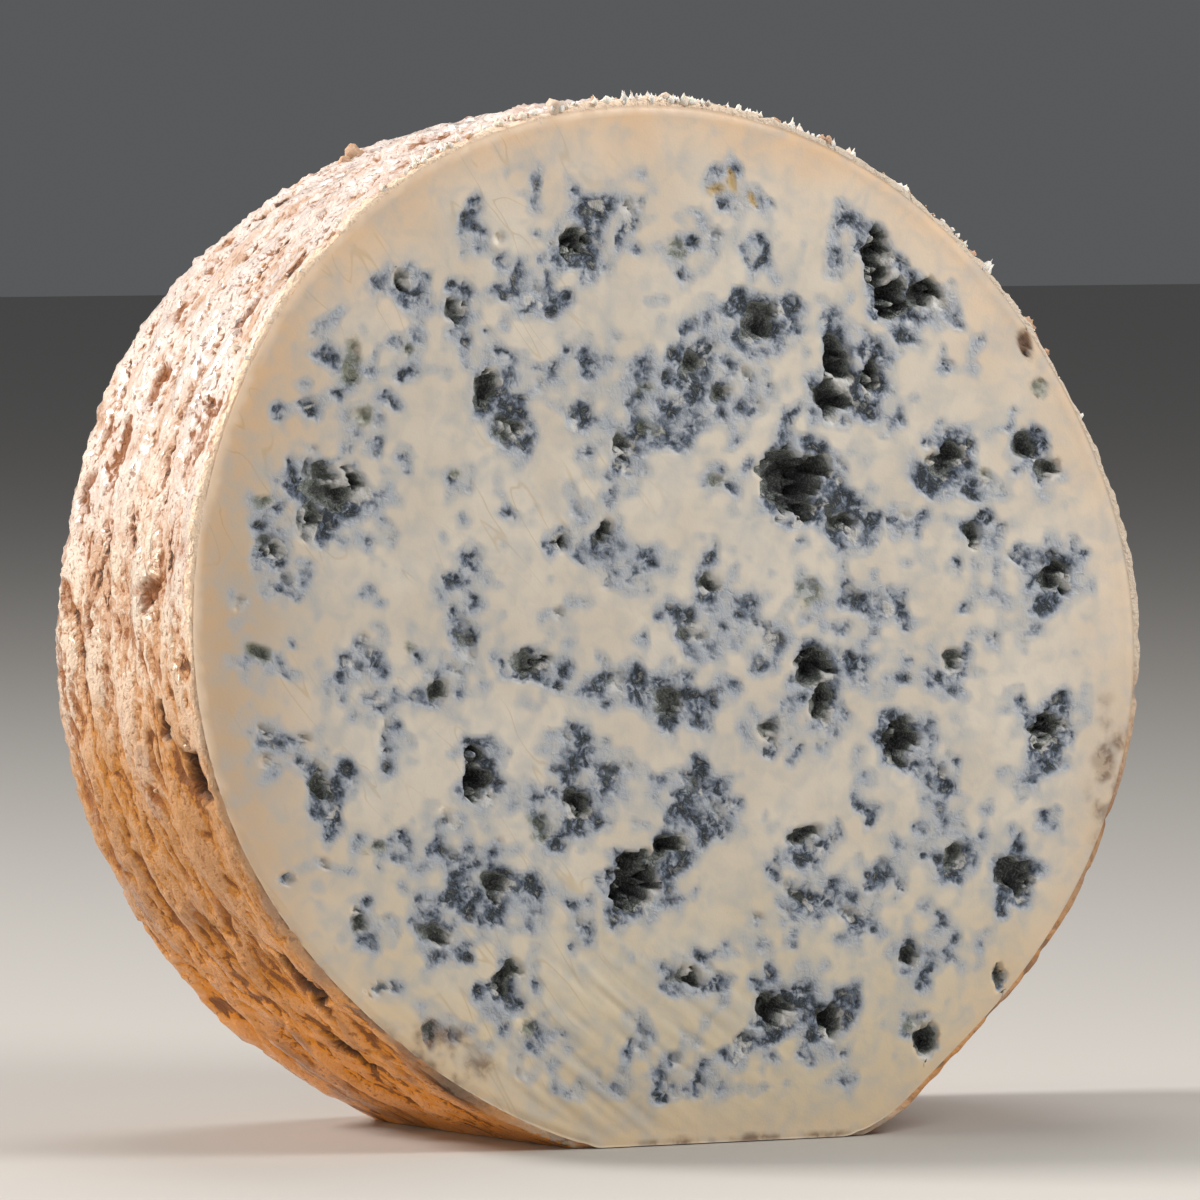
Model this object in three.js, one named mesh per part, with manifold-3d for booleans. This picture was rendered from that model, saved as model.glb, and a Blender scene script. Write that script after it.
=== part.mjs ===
// A thick end slice of a tall, round blue cheese, standing on its rind with the cut face to -Y.
// Millimetres, +Z up. The origin is on the ground under the middle of the slice.
// The rind wraps the side and the rounded back end. Mould cavities open on the cut face.
import * as THREE from "three";
import { ImprovedNoise } from "three/addons/math/ImprovedNoise.js";
import { mergeVertices } from "three/addons/utils/BufferGeometryUtils.js";
import Module from "manifold-3d";

// The slice
const RADIUS = 65;
const THICKNESS = 50;
const SHOULDER = 9; // the rounding where the side turns into the back end
const CENTRE_HEIGHT = 63.7; // less than the radius, as the cheese has settled on a flat foot
const CENTRE_X = -0.13;
const FRONT = -THICKNESS / 2;
const SAG = 4.4; // the axis falls this far from the cut face to the back end

// How far the outline strays from a circle: waves round the axis, and the heel beside the foot
const OUTLINE_WAVES = [
  { count: 2, swell: 2.25, crest: -53.1 },
  { count: 4, swell: 0.44, crest: 5.3 },
  { count: 5, swell: 0.31, crest: -9.6 },
];
const HEEL = { angle: -66, spread: 8, swell: 1.9 };

// Furrows of the rind, which run round the side at a slight slant
const FURROWS = [
  { spacing: 8.5, turns: 5, depth: 0.42, start: 0.4 },
  { spacing: 12.5, turns: -9, depth: 0.38, start: 2.1 },
  { spacing: 17, turns: 14, depth: 0.3, start: 4.0 },
];
const LUMP = { size: 9, height: 1.1 };
const END_WAVE = { size: 26, height: 1.4 }; // the slow dips of the back end
const SMOOTH_FOOT = 5; // the rind is pressed smooth up to this height above the ground
const TRIMMED = { behind: 7, share: 0.35 }; // less relief this near the cut

// How finely the slice is divided
const SECTORS = 112;
const SIDE_ROWS = 13;
const SHOULDER_ROWS = 3;
const FACE_RINGS = [0.5];
const END_SHARE = 0.84; // the flat of the back end reaches this far out
const BACK_RINGS = [END_SHARE, 0.56, 0.28];

// Mould cavities on the cut face: place from the axis, width, height, turn in degrees, depth
const CAVITIES = [
  [-13.6, 48.2, 4.6, 5.6, -60, 4.2],
  [-36.3, 43.6, 3.0, 3.4, 60, 2.6],
  [-29.0, 40.4, 4.0, 4.2, 0, 3.2],
  [-24.6, 30.6, 3.6, 5.6, -15, 4.2],
  [-22.2, 25.4, 4.4, 4.6, 10, 2.0],
  [-46.4, 20.6, 6.4, 4.0, -20, 4.2],
  [-48.4, 15.8, 2.6, 5.2, -10, 3.2],
  [-41.2, 17.0, 5.4, 3.6, -30, 3.6],
  [-53.8, 11.4, 3.8, 3.0, -20, 2.2],
  [-15.1, 11.5, 3.8, 2.8, -20, 2.6],
  [-9.0, 12.5, 2.8, 4.0, -25, 3.2],
  [-7.0, 22.7, 3.0, 4.2, 0, 2.6],
  [28.2, 46.2, 4.4, 8.6, 15, 6.0],
  [30.2, 41.2, 6.0, 6.0, 0, 7.0],
  [34.8, 41.2, 6.4, 3.8, 5, 5.0],
  [11.8, 38.5, 7.0, 5.6, 15, 3.8],
  [2.9, 33.4, 3.6, 4.2, 0, 2.6],
  [22.6, 32.6, 4.2, 8.8, 5, 6.0],
  [21.6, 28.6, 5.4, 4.4, 0, 5.0],
  [27.4, 31.2, 2.2, 6.4, -10, 3.6],
  [17.0, 18.4, 10.4, 9.0, -15, 8.0],
  [23.3, 13.2, 5.0, 5.0, 0, 3.0],
  [37.6, 20.6, 7.0, 3.6, 40, 4.2],
  [48.9, 22.3, 3.6, 4.4, 40, 3.2],
  [52.3, 19.6, 3.6, 3.2, 0, 3.0],
  [41.4, 11.2, 3.2, 3.8, -30, 2.6],
  [53.1, 5.8, 5.4, 5.2, 0, 4.4],
  [5.0, 5.9, 3.6, 3.4, 0, 2.6],
  [-19.3, -3.4, 5.6, 3.0, 5, 3.2],
  [-31.6, -6.4, 3.6, 3.0, 0, 3.0],
  [-47.3, -16.9, 3.0, 5.6, 15, 2.4],
  [-26.3, -16.9, 4.6, 7.2, 5, 6.4],
  [-12.5, -20.6, 4.4, 4.6, 0, 4.0],
  [-24.0, -30.6, 4.2, 3.6, -20, 3.2],
  [-31.6, -36.5, 6.0, 2.6, -25, 3.2],
  [-22.7, -42.5, 4.8, 3.6, 35, 3.2],
  [-42.0, -34.6, 2.4, 4.2, 0, 2.0],
  [19.2, -5.2, 6.0, 5.4, 20, 6.0],
  [20.8, -9.2, 3.2, 5.6, -10, 4.2],
  [-0.2, -8.6, 5.2, 4.2, -15, 3.0],
  [38.7, -4.7, 3.8, 2.6, -20, 3.0],
  [13.3, -12.4, 4.0, 3.2, 0, 2.8],
  [31.3, -14.8, 5.6, 6.2, 0, 5.2],
  [51.6, -14.0, 4.4, 6.6, -35, 4.6],
  [-5.6, -31.0, 7.4, 7.6, 10, 8.0],
  [-0.6, -27.0, 5.4, 3.6, 35, 5.0],
  [18.1, -25.9, 5.4, 3.2, 35, 4.0],
  [39.3, -29.0, 3.8, 4.2, 0, 3.2],
  [47.3, -31.6, 5.6, 5.6, 0, 4.4],
  [32.7, -41.6, 2.8, 3.8, 20, 3.4],
  [45.3, -44.7, 2.4, 4.2, 0, 2.2],
  [2.1, -42.7, 4.8, 3.4, -15, 3.2],
  [14.4, -47.2, 5.6, 5.0, -50, 6.4],
  [21.7, -49.0, 3.6, 6.4, -10, 5.0],
  [35.0, -52.2, 4.2, 5.0, 0, 4.2],
];
const CAVITY_DETAIL = 2;
const SMALL_CAVITY = 5.2; // under this mean width a cavity has fewer faces
const WALL_STEEPNESS = 0.6; // 1 is a round bowl, less is a flatter floor with steeper walls
const RAGGEDNESS = 0.34;
const CORNER_LOSS = 1.12; // makes up for the corners that a coarse blob lacks

// Deep pits in the rind: angle round the axis, distance behind the cut face, length round the
// side, width along the axis, depth
const RIND_PITS = [
  [195, 4.6, 9.5, 5.0, 2.8],
  [188, 11.0, 4.5, 3.6, 1.8],
  [174, 12.5, 5.0, 3.2, 1.5],
  [214, 21.0, 4.5, 4.2, 2.0],
  [222, 7.0, 10.0, 4.2, 1.9],
  [176, 31.0, 6.0, 3.6, 1.5],
  [150, 27.0, 7.0, 3.4, 1.4],
  [142, 9.0, 6.5, 3.2, 1.4],
  [236, 17.0, 13.0, 3.6, 1.7],
  [162, 38.0, 6.5, 3.4, 1.4],
  [38, 3.0, 5.5, 3.4, 1.6],
  [24, 4.0, 6.5, 4.0, 1.8],
  [8, 26.0, 8.0, 4.0, 1.8],
  [-20, 14.0, 7.5, 4.0, 1.8],
  [66, 30.0, 7.0, 3.6, 1.5],
  [-42, 33.0, 8.5, 3.8, 1.8],
  [98, 20.0, 6.0, 3.4, 1.4],
  [112, 36.0, 7.0, 3.6, 1.5],
];

const noise = new ImprovedNoise();
const wasm = await Module();
wasm.setup();

// Smoothly from 0 below low to 1 above high.
function ease(value, low, high) {
  return THREE.MathUtils.smoothstep(value, low, high);
}

// The distance from the axis to the outline at an angle in radians, anticlockwise from +X.
function outlineRadius(angle) {
  let radius = RADIUS;
  for (const { count, swell, crest } of OUTLINE_WAVES) {
    radius += swell * Math.cos(count * (angle - THREE.MathUtils.degToRad(crest)));
  }
  const fromHeel = THREE.MathUtils.radToDeg(angle) - HEEL.angle;
  return radius + HEEL.swell * Math.exp(-((fromHeel / HEEL.spread) ** 2));
}

// How far the rind stands out or in at an angle and a distance behind the cut face.
function rindRelief(angle, y) {
  let relief = 0;
  for (const { spacing, turns, depth, start } of FURROWS) {
    relief += depth * Math.sin((2 * Math.PI * y) / spacing + turns * angle + start);
  }
  const x = (RADIUS * Math.cos(angle)) / LUMP.size;
  const z = (RADIUS * Math.sin(angle)) / LUMP.size;
  relief += LUMP.height * noise.noise(x, (2 * y) / LUMP.size, z);
  return relief * THREE.MathUtils.lerp(TRIMMED.share, 1, ease(y, 0, TRIMMED.behind));
}

// The half profile of the slice, from the axis on the cut face round to the axis at the back.
// A row is (share of the outline, distance behind the cut face, inset from the outline).
function profilePoints() {
  const points = [[0, 0, 0]];
  for (const share of FACE_RINGS) points.push([share, 0, 0]);
  const straight = THICKNESS - SHOULDER;
  for (let i = 0; i <= SIDE_ROWS; i++) points.push([1, (straight * i) / SIDE_ROWS, 0]);
  for (let i = 1; i <= SHOULDER_ROWS; i++) {
    const turn = ((Math.PI / 2) * i) / SHOULDER_ROWS;
    points.push([1, straight + SHOULDER * Math.sin(turn), SHOULDER * (1 - Math.cos(turn))]);
  }
  for (const share of BACK_RINGS) points.push([share, THICKNESS, 0]);
  points.push([0, THICKNESS, 0]);
  return points.map(([share, y, inset]) => new THREE.Vector2(share * (RADIUS - inset), y));
}

// The height of the axis at a distance behind the cut face.
function axisHeight(behind) {
  return CENTRE_HEIGHT - (SAG * behind) / THICKNESS;
}

// Where a point of the plain turned slice goes once it has its outline, relief and foot.
function settle(point) {
  const spread = Math.hypot(point.x, point.z);
  const angle = Math.atan2(point.z, point.x);
  const share = spread / RADIUS;
  const radius = share * outlineRadius(angle);
  const onSide = ease(share, END_SHARE, END_SHARE + 0.01);
  const middle = axisHeight(point.y);
  const height = middle + radius * Math.sin(angle);
  const free = ease(height, SMOOTH_FOOT / 4, SMOOTH_FOOT);
  const out = radius + onSide * free * rindRelief(angle, point.y);
  const wave = noise.noise(point.x / END_WAVE.size, 0.5, point.z / END_WAVE.size);
  const dip = point.y > 0 ? (1 - onSide) * END_WAVE.height * Math.abs(wave) : 0;
  point.set(
    CENTRE_X + out * Math.cos(angle),
    FRONT + point.y - dip,
    Math.max(0, middle + out * Math.sin(angle)),
  );
}

// A closed geometry as a solid that can be joined and cut.
function toSolid(geometry) {
  const bare = geometry.clone().deleteAttribute("normal").deleteAttribute("uv");
  const merged = mergeVertices(bare, 1e-3);
  return new wasm.Manifold(
    new wasm.Mesh({
      numProp: 3,
      vertProperties: new Float32Array(merged.attributes.position.array),
      triVerts: new Uint32Array(merged.index.array),
    }),
  );
}

// A solid back as a geometry with flat faces.
function toGeometry(solid) {
  const mesh = solid.getMesh();
  const geometry = new THREE.BufferGeometry();
  geometry.setAttribute("position", new THREE.BufferAttribute(mesh.vertProperties, mesh.numProp));
  geometry.setIndex(new THREE.BufferAttribute(mesh.triVerts, 1));
  return geometry.toNonIndexed();
}

// Moves every vertex of a geometry by a function that changes a point in place.
function reshape(geometry, change) {
  const bare = mergeVertices(geometry.deleteAttribute("normal").deleteAttribute("uv"), 1e-3);
  const position = bare.attributes.position;
  const point = new THREE.Vector3();
  for (let i = 0; i < position.count; i++) {
    point.fromBufferAttribute(position, i);
    change(point);
    position.setXYZ(i, point.x, point.y, point.z);
  }
  return bare;
}

// The slice before anything is cut from it.
function sliceSolid() {
  return toSolid(reshape(new THREE.LatheGeometry(profilePoints(), SECTORS), settle));
}

// A ragged blob for cutting a hollow that is depth deep along Y. seed sets its shape.
function blob(width, depth, height, detail, seed) {
  const half = CORNER_LOSS / 2;
  return reshape(new THREE.IcosahedronGeometry(1, detail), (point) => {
    const rough = noise.noise(point.x * 1.6 + seed, point.y * 1.6, point.z * 1.6 - seed);
    const swell = half * (1 + RAGGEDNESS * rough * (1 - 0.5 * Math.abs(point.y)));
    const deep = Math.sign(point.y) * Math.abs(point.y) ** WALL_STEEPNESS;
    point.set(point.x * swell * width, deep * depth, point.z * swell * height);
  });
}

// One mould cavity, centred on the cut face.
function cavitySolid([x, z, width, height, turn, depth], index) {
  const detail = (width + height) / 2 < SMALL_CAVITY ? CAVITY_DETAIL - 1 : CAVITY_DETAIL;
  const shape = blob(width, depth, height, detail, index * 7.3 + 0.4);
  shape.rotateY(THREE.MathUtils.degToRad(-turn));
  shape.translate(CENTRE_X + x, FRONT, CENTRE_HEIGHT + z);
  return toSolid(shape);
}

// One deep pit, centred on the surface of the rind.
function rindPitSolid([degrees, behind, length, width, depth], index) {
  const angle = THREE.MathUtils.degToRad(degrees);
  const shape = blob(width, depth, length, 1, index * 5.1 + 60);
  shape.rotateZ(-Math.PI / 2);
  shape.rotateY(-angle);
  const radius = outlineRadius(Math.atan2(Math.sin(angle), Math.cos(angle))) - depth / 5;
  shape.translate(
    CENTRE_X + radius * Math.cos(angle),
    FRONT + behind,
    axisHeight(behind) + radius * Math.sin(angle),
  );
  return toSolid(shape);
}

// The largest piece of a solid, without any loose scraps that cutting has left.
function wholePiece(solid) {
  return solid.decompose().reduce((a, b) => (a.volume() > b.volume() ? a : b));
}

function cheeseMesh() {
  const hollows = [...CAVITIES.map(cavitySolid), ...RIND_PITS.map(rindPitSolid)];
  const cut = hollows.reduce((slice, hollow) => slice.subtract(hollow), sliceSolid());
  const material = new THREE.MeshStandardMaterial({
    color: new THREE.Color(0.86, 0.78, 0.64),
    roughness: 0.55,
    metalness: 0,
  });
  const mesh = new THREE.Mesh(toGeometry(wholePiece(cut)), material);
  mesh.name = "cheese";
  return mesh;
}

const slice = new THREE.Group();
slice.add(cheeseMesh());

export default slice;
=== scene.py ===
"""A thick end slice of a tall round blue cheese, standing on its rind, cut face to the front.

Sizes are in millimetres in the row frame and become metres when a mesh is made.
"""

import logging
import math
from dataclasses import dataclass
from enum import Enum
from itertools import product
from typing import Any

import bmesh
import bpy
import numpy as np
from mathutils import Matrix, Vector


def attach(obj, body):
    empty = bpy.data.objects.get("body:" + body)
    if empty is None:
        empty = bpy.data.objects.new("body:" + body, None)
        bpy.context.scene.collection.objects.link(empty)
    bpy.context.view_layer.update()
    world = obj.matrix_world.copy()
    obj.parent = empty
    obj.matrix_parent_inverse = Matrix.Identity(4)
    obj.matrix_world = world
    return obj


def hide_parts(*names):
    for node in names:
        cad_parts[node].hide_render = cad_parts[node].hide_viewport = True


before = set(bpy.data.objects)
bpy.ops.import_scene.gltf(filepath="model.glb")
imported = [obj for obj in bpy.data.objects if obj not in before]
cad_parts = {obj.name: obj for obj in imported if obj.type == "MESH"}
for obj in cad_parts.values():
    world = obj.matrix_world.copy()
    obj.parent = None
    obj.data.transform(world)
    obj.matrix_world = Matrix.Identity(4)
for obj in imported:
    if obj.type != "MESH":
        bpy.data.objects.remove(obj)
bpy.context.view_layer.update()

LOG = logging.getLogger("cheese")
MM = 0.001
Colour = tuple[float, float, float]
Place = tuple[float, float, float]
Array = np.ndarray


# ---------------------------------------------------------------- noise and meshes


class Lattice:
    """Smooth gradient noise, worked out for whole arrays of points."""

    def __init__(self, seed: int) -> None:
        """Draws the lattice's order and its gradients from a seed."""
        source = np.random.default_rng(seed)
        order = source.permutation(256)
        self.order = np.concatenate([order, order])
        gradients = source.normal(size=(256, 3))
        self.gradients = gradients / np.linalg.norm(gradients, axis=1, keepdims=True)

    def at(self, x: Array, y: Array, z: Array) -> Array:
        """Noise at each point: the corner gradients' slopes, faded across the lattice cell.

        Args:
            x: First coordinates, in cells.
            y: Second coordinates, in cells.
            z: Third coordinates, in cells.

        Returns:
            Values from about -1 to 1.
        """
        points = np.stack(np.broadcast_arrays(x, y, z), axis=-1).astype(float)
        cell = np.floor(points).astype(int)
        inside = points - cell
        cell &= 255
        fade = inside**3 * (inside * (inside * 6 - 15) + 10)
        total = np.zeros(points.shape[:-1])
        for corner in product((0, 1), repeat=3):
            step = np.array(corner)
            place = (cell + step) & 255
            pick = self.order[self.order[self.order[place[..., 0]] + place[..., 1]] + place[..., 2]]
            share = np.prod(np.where(step == 1, fade, 1 - fade), axis=-1)
            total += share * np.sum(self.gradients[pick] * (inside - step), axis=-1)
        return 1.6 * total

    def layered(self, x: Array, y: Array, z: Array, octaves: int = 3) -> Array:
        """Noise plus finer noise, each octave twice as fine and half as strong.

        Args:
            x: First coordinates, in cells of the coarsest octave.
            y: Second coordinates.
            z: Third coordinates.
            octaves: How many are added.

        Returns:
            Values from about -1.5 to 1.5.
        """
        total = np.zeros(np.broadcast(x, y, z).shape)
        for octave in range(octaves):
            finer = 2.0**octave
            total += self.at(x * finer + 17.3 * octave, y * finer, z * finer) / finer
        return total


def ease(value: Array, low: float, high: float) -> Array:
    """Goes smoothly from 0 at low to 1 at high; low may be the larger."""
    share = np.clip((value - low) / (high - low), 0.0, 1.0)
    return share * share * (3 - 2 * share)


def ring_quads(first: Array, second: Array) -> Array:
    """Quads between two closed rings of vertex numbers, each with its next neighbours."""
    return np.stack([first, np.roll(first, -1), np.roll(second, -1), second], axis=-1)


def outward(vertices: Array, triangles: Array) -> bool:
    """Whether the faces look out: the signed volume of the tetrahedra to the origin is positive."""
    a, b, c = (vertices[triangles[:, i]] for i in range(3))
    return float(np.einsum("ij,ij->i", a, np.cross(b, c)).sum()) > 0


def make_piece(name: str, vertices: Array, quads: Array, triangles: Array) -> bpy.types.Object:
    """Makes one closed piece with smooth faces that look out.

    Args:
        name: The piece's name.
        vertices: Places in millimetres, one row each.
        quads: Vertex numbers of the four-sided faces, or an empty array.
        triangles: Vertex numbers of the three-sided faces, or an empty array.

    Returns:
        The object, at the origin.
    """
    halves = [quads[:, [0, 1, 2]], quads[:, [0, 2, 3]]] if len(quads) else []
    thirds = [triangles] if len(triangles) else []
    if not outward(vertices, np.concatenate(halves + thirds)):
        quads, triangles = quads[:, ::-1], triangles[:, ::-1]
    mesh = bpy.data.meshes.new(name)
    mesh.from_pydata((vertices * MM).tolist(), [], quads.tolist() + triangles.tolist())
    mesh.polygons.foreach_set("use_smooth", np.ones(len(mesh.polygons), dtype=bool))
    mesh.update()
    piece = bpy.data.objects.new(name, mesh)
    bpy.context.scene.collection.objects.link(piece)
    LOG.info("%s: %d vertices, %d faces", name, len(mesh.vertices), len(mesh.polygons))
    return piece


def paint(piece: bpy.types.Object, name: str, *masks: Array, rest: float = 0.0) -> None:
    """Stores up to three masks as one colour attribute, one mask to a channel, by vertex.

    Args:
        piece: The object whose mesh takes the attribute.
        name: The attribute's name.
        masks: Values from 0 to 1 for the piece's first vertices, in any shape.
        rest: The value of the vertices after those.
    """
    values = np.full((len(piece.data.vertices), 4), rest, dtype=np.float32)
    values[:, 3] = 1
    for channel, mask in enumerate(masks):
        values[: mask.size, channel] = np.clip(mask.ravel(), 0, 1)
    layer = piece.data.attributes.new(name, "FLOAT_COLOR", "POINT")
    layer.data.foreach_set("color", values.ravel())


def belongs(piece: bpy.types.Object, material: bpy.types.Material) -> None:
    """Dresses a piece, puts it under the CAD body root, and hides the CAD part cheese.

    Args:
        piece: The object.
        material: Its finish.
    """
    piece.data.materials.append(material)
    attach(piece, "root")
    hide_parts("cheese")


# ---------------------------------------------------------------- shader sums


class Tap:
    """One output of a shader node, which takes part in Python sums."""

    def __init__(self, recipe: "Recipe", socket: bpy.types.NodeSocket) -> None:
        """Keeps the socket and the recipe that new nodes go into."""
        self.recipe = recipe
        self.socket = socket

    def _sum(self, operation: str, first: Any, second: Any) -> "Tap":
        """Adds a Math node that works on two values or taps."""
        node = self.recipe.node("ShaderNodeMath", {"operation": operation}, {0: first, 1: second})
        return Tap(self.recipe, node.outputs[0])

    def __add__(self, other: Any) -> "Tap":
        """This plus the other."""
        return self._sum("ADD", self, other)

    def __radd__(self, other: Any) -> "Tap":
        """The other plus this."""
        return self._sum("ADD", other, self)

    def __sub__(self, other: Any) -> "Tap":
        """This less the other."""
        return self._sum("SUBTRACT", self, other)

    def __rsub__(self, other: Any) -> "Tap":
        """The other less this."""
        return self._sum("SUBTRACT", other, self)

    def __mul__(self, other: Any) -> "Tap":
        """This times the other."""
        return self._sum("MULTIPLY", self, other)

    def __rmul__(self, other: Any) -> "Tap":
        """The other times this."""
        return self._sum("MULTIPLY", other, self)

    def highest(self, other: Any) -> "Tap":
        """The larger of this and the other."""
        return self._sum("MAXIMUM", self, other)

    def lowest(self, other: Any) -> "Tap":
        """The smaller of this and the other."""
        return self._sum("MINIMUM", self, other)


class Recipe:
    """A material's node tree, with one method that adds any node."""

    def __init__(self, name: str) -> None:
        """Starts a new material with an empty tree."""
        self.material = bpy.data.materials.new(name)
        self.material.use_nodes = True
        self.tree = self.material.node_tree
        self.tree.nodes.clear()
        place = self.node("ShaderNodeTexCoord")
        self.place = Tap(self, place.outputs["Object"])

    def node(self, kind: str, settings: dict | None = None, sockets: dict | None = None) -> Any:
        """Adds a node.

        Args:
            kind: The node's type.
            settings: Its own settings, which are set first.
            sockets: Values, colours or taps for its inputs, by name or number.

        Returns:
            The node.
        """
        node = self.tree.nodes.new(kind)
        for key, value in (settings or {}).items():
            setattr(node, key, value)
        for key, value in (sockets or {}).items():
            if isinstance(value, Tap):
                self.tree.links.new(value.socket, node.inputs[key])
            elif isinstance(value, tuple) and node.inputs[key].type == "RGBA":
                node.inputs[key].default_value = (*value, 1.0)
            else:
                node.inputs[key].default_value = value
        return node

    def noise(self, size: Place, detail: float = 3.0, rough: float = 0.55, warp: float = 0.0,
              turn: float = 0.0) -> Tap:
        """Noise in object space.

        Args:
            size: A cell's size in millimetres along X, Y and Z.
            detail: How many finer octaves are added.
            rough: How strong each octave is next to the one before.
            warp: How far the noise distorts itself.
            turn: The cells' turn about Y in radians.

        Returns:
            Values from 0 to 1.
        """
        cells = self.node(
            "ShaderNodeMapping",
            {"vector_type": "TEXTURE"},
            {"Vector": self.place, "Rotation": (0.0, turn, 0.0),
             "Scale": tuple(side * MM for side in size)},
        )
        node = self.node(
            "ShaderNodeTexNoise",
            {},
            {"Vector": Tap(self, cells.outputs[0]), "Scale": 1.0, "Detail": detail,
             "Roughness": rough, "Distortion": warp},
        )
        return Tap(self, node.outputs[0])

    def step(self, value: Tap, low: float, high: float, top: float = 1.0) -> Tap:
        """Goes smoothly from 0 at low to top at high."""
        node = self.node(
            "ShaderNodeMapRange",
            {"interpolation_type": "SMOOTHSTEP"},
            {"Value": value, "From Min": low, "From Max": high, "To Min": 0.0, "To Max": top},
        )
        return Tap(self, node.outputs[0])

    def masks(self, name: str) -> list[Tap]:
        """The three masks that a colour attribute holds."""
        held = self.node("ShaderNodeAttribute", {"attribute_name": name})
        parts = self.node("ShaderNodeSeparateColor", {}, {0: Tap(self, held.outputs["Color"])})
        return [Tap(self, socket) for socket in parts.outputs]

    def axes(self) -> list[Tap]:
        """The three object coordinates in millimetres."""
        parts = self.node("ShaderNodeSeparateXYZ", {}, {0: self.place})
        return [Tap(self, socket) * 1000.0 for socket in parts.outputs]

    def mix(self, share: Any, under: Any, over: Any) -> Tap:
        """A colour that goes from under to over as share goes from 0 to 1."""
        node = self.node("ShaderNodeMix", {"data_type": "RGBA"}, {0: share, 6: under, 7: over})
        return Tap(self, node.outputs[2])

    def layers(self, under: Any, *over: tuple[Any, Any]) -> Tap:
        """Mixes colours over one another.

        Args:
            under: The lowest colour.
            over: The share and the colour of each layer above it.

        Returns:
            The colour that all of them make.
        """
        for share, colour in over:
            under = self.mix(share, under, colour)
        return under

    def bump(self, height: Tap, depth: float, strength: float = 1.0) -> Tap:
        """A normal from a height of 0 to 1 that stands depth millimetres."""
        node = self.node(
            "ShaderNodeBump", {}, {"Height": height, "Distance": depth * MM, "Strength": strength}
        )
        return Tap(self, node.outputs[0])

    def finish(self, **sockets: Any) -> bpy.types.Material:
        """Ends the tree in a Principled shader.

        Args:
            sockets: The shader's inputs by name, with _ for each space.

        Returns:
            The material.
        """
        named = {key.replace("_", " "): value for key, value in sockets.items()}
        shader = self.node("ShaderNodeBsdfPrincipled", {}, named)
        self.node("ShaderNodeOutputMaterial", {}, {0: Tap(self, shader.outputs[0])})
        return self.material


def tone(red: int, green: int, blue: int) -> Colour:
    """A display colour from 0 to 255 as the linear colour that a shader takes."""
    return tuple(
        value / 12.92 if value <= 0.04045 else ((value + 0.055) / 1.055) ** 2.4
        for value in (red / 255, green / 255, blue / 255)
    )


# ---------------------------------------------------------------- the round's own shape


@dataclass(frozen=True)
class Round:
    """The slice's main form, with the same named sizes as the part's source."""

    radius: float = 65.0
    thickness: float = 50.0
    shoulder: float = 9.0
    centre_height: float = 63.7
    centre_x: float = -0.13
    sag: float = 4.4
    waves: tuple = ((2, 2.25, -53.1), (4, 0.44, 5.3), (5, 0.31, -9.6))
    heel: tuple = (-66.0, 8.0, 1.9)
    smooth_foot: float = 5.0

    @property
    def front(self) -> float:
        """Where the cut face lies along Y."""
        return -self.thickness / 2

    def outline(self, angle: Array) -> Array:
        """Radius plus cosine waves round the axis, plus a swell at the heel beside the foot.

        Args:
            angle: Angles round the axis in radians, from +X towards +Z.

        Returns:
            The radius at each angle.
        """
        out = np.full(np.shape(angle), self.radius)
        for count, swell, crest in self.waves:
            out = out + swell * np.cos(count * (angle - math.radians(crest)))
        at, spread, swell = self.heel
        turn = (np.degrees(angle) - at + 180) % 360 - 180
        return out + swell * np.exp(-((turn / spread) ** 2))

    def axis_height(self, y: Array) -> Array:
        """How high the axis lies at a place along Y: it falls evenly to the back end."""
        return self.centre_height - self.sag * (np.asarray(y) - self.front) / self.thickness

    def grounded(self, angle: Array, radius: Array, y: Array) -> Array:
        """The radius, cut where it would reach below the ground: height over the angle's sine."""
        reach_down = self.axis_height(y) / np.maximum(-np.sin(angle), 1e-6)
        return np.where(np.sin(angle) < 0, np.minimum(radius, reach_down), radius)

    def place(self, angle: Array, radius: Array, y: Array) -> Array:
        """Points from an angle round the axis, a radius and a place along Y."""
        return np.stack(
            np.broadcast_arrays(
                self.centre_x + radius * np.cos(angle),
                y,
                self.axis_height(y) + radius * np.sin(angle),
            ),
            axis=-1,
        )


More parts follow.
